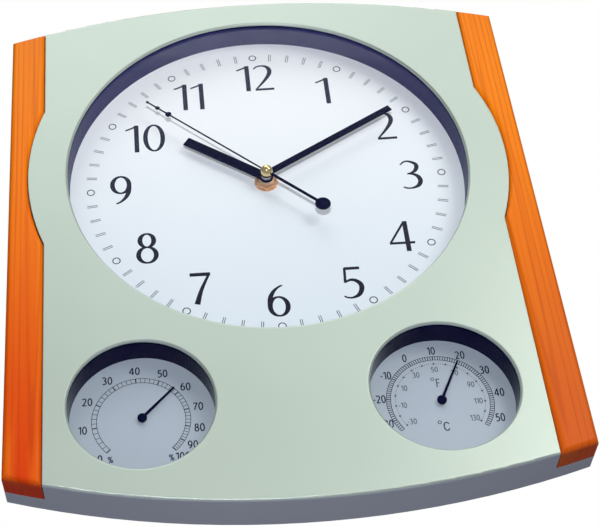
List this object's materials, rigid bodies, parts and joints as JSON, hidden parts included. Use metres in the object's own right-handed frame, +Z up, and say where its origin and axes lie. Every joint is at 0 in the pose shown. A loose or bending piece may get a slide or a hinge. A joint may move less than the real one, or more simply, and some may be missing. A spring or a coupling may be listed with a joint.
{
  "type": "thermometer hygrometer wall clock",
  "caption": "Wall clock with a curved satin silver front, orange wood-effect side strips, a round quartz dial, and small hygrometer and thermometer gauges below it.",
  "frame": {"origin": "centre of the hanging keyhole's round entry, on the wall plane", "axes": "+X to the right seen from the front, +Z up, the dial faces -Y and the wall plane is Y = 0"},
  "size_m": [0.26, 0.0386, 0.3075],
  "materials": {
    "silver_lacquer": "satin silver-green lacquer on a moulded front",
    "orange_wood": "gloss lacquered wood with a fine straight grain",
    "rear_plastic": "textured dark grey moulding",
    "clear_window": "flat clear window",
    "lining_black": "gloss near-black lining",
    "dial_print": "white enamelled sheet with dark print",
    "hand_black": "satin black",
    "brass": "bright turned brass",
    "gold": "polished gold-coloured ball",
    "screw_steel": "zinc plated",
    "rubber": "black rubber",
    "movement_plastic": "black moulding",
    "wheel_plastic": "white acetal",
    "pipe_metal": "pale pipe and wheel",
    "magnet": "sintered magnet on a moulded pinion",
    "core_steel": "soft iron sheet",
    "copper_wire": "enamelled copper wire",
    "board_green": "printed board with a black potting dome",
    "can_steel": "bright can",
    "contact_plate": "nickel plated strip",
    "battery_sleeve": "plain printed sleeve",
    "humidity_strip": "coated metal strip",
    "bimetal_strip": "bimetal strip",
    "knob_plastic": "moulded knob"
  },
  "bodies": {
    "case": {"front_bezel": "silver_lacquer", "left_side_strip": "orange_wood", "right_side_strip": "orange_wood", "side_strip_screws": "screw_steel", "back_cover": "rear_plastic", "case_screws": "screw_steel", "dial_lens": "clear_window", "hygrometer_lens": "clear_window", "thermometer_lens": "clear_window", "dial_ring": "lining_black", "hygrometer_ring": "lining_black", "thermometer_ring": "lining_black", "dial_plate": "dial_print", "dial_screws": "screw_steel", "rubber_washer": "rubber", "shaft_washer": "brass", "shaft_nut": "brass", "movement_case": "movement_plastic", "movement_cover": "movement_plastic", "stator": "core_steel", "coil_bobbin": "wheel_plastic", "coil_winding": "copper_wire", "circuit_board": "board_green", "quartz_crystal": "can_steel", "battery": "battery_sleeve", "positive_contact": "contact_plate", "negative_contact": "contact_plate", "hygrometer_dial": "dial_print", "hygrometer_coil": "humidity_strip", "hygrometer_bridge": "brass", "hygrometer_cup": "can_steel", "thermometer_dial": "dial_print", "thermometer_coil": "bimetal_strip", "thermometer_bridge": "brass", "thermometer_cup": "can_steel", "gauge_clips": "screw_steel", "gauge_clip_screws": "screw_steel"},
    "seconds": {"second_hand": "hand_black", "second_hand_cap": "gold", "seconds_wheel": "wheel_plastic"},
    "minutes": {"minute_hand": "hand_black", "centre_wheel": "pipe_metal"},
    "hours": {"hour_hand": "hand_black", "hour_wheel": "pipe_metal"},
    "third": {"third_wheel": "wheel_plastic"},
    "motion": {"motion_wheel": "wheel_plastic"},
    "intermediate": {"intermediate_wheel": "wheel_plastic"},
    "rotor": {"rotor": "magnet"},
    "knob": {"setting_knob": "knob_plastic"},
    "hygrometer_needle": {"hygrometer_pointer": "hand_black", "hygrometer_arbor": "screw_steel"},
    "thermometer_needle": {"thermometer_pointer": "hand_black", "thermometer_arbor": "screw_steel"}
  },
  "joints": [
    {"name": "minute_hand_turn", "type": "hinge", "parent": "case", "child": "minutes", "pos_m": [0, -0.025, -0.08], "axis": [0, 1, 0], "continuous": true},
    {"name": "hour_hand_turn", "type": "hinge", "parent": "case", "child": "hours", "pos_m": [0, -0.025, -0.08], "axis": [0, 1, 0], "continuous": true},
    {"name": "second_hand_turn", "type": "hinge", "parent": "case", "child": "seconds", "pos_m": [0, -0.025, -0.08], "axis": [0, 1, 0], "continuous": true},
    {"name": "third_wheel_turn", "type": "hinge", "parent": "case", "child": "third", "pos_m": [-0.00707, -0.025, -0.07592], "axis": [0, 1, 0], "continuous": true},
    {"name": "motion_wheel_turn", "type": "hinge", "parent": "case", "child": "motion", "pos_m": [0, -0.025, -0.071], "axis": [0, 1, 0], "continuous": true},
    {"name": "intermediate_wheel_turn", "type": "hinge", "parent": "case", "child": "intermediate", "pos_m": [0.00717, -0.025, -0.07586], "axis": [0, 1, 0], "continuous": true},
    {"name": "rotor_turn", "type": "hinge", "parent": "case", "child": "rotor", "pos_m": [0.01212, -0.025, -0.06996], "axis": [0, 1, 0], "continuous": true},
    {"name": "setting_knob_turn", "type": "hinge", "parent": "case", "child": "knob", "pos_m": [-0.0045, -0.025, -0.06321], "axis": [0, 1, 0], "continuous": true},
    {"name": "hygrometer_pointer_turn", "type": "hinge", "parent": "case", "child": "hygrometer_needle", "pos_m": [-0.06825, -0.025, -0.21749], "axis": [0, 1, 0], "range_deg": [-176.5, 89.5], "stiffness_Nm_per_rad": 0.0003},
    {"name": "thermometer_pointer_turn", "type": "hinge", "parent": "case", "child": "thermometer_needle", "pos_m": [0.06825, -0.025, -0.21749], "axis": [0, 1, 0], "range_deg": [-152, 98], "stiffness_Nm_per_rad": 0.0003}
  ],
  "couplings": [
    {"joint": "hour_hand_turn", "follows": "minute_hand_turn", "ratio": 0.083333},
    {"joint": "second_hand_turn", "follows": "minute_hand_turn", "ratio": 60},
    {"joint": "third_wheel_turn", "follows": "minute_hand_turn", "ratio": -8},
    {"joint": "motion_wheel_turn", "follows": "minute_hand_turn", "ratio": -0.33333},
    {"joint": "setting_knob_turn", "follows": "minute_hand_turn", "ratio": 1},
    {"joint": "intermediate_wheel_turn", "follows": "minute_hand_turn", "ratio": -300},
    {"joint": "rotor_turn", "follows": "minute_hand_turn", "ratio": 1800}
  ]
}
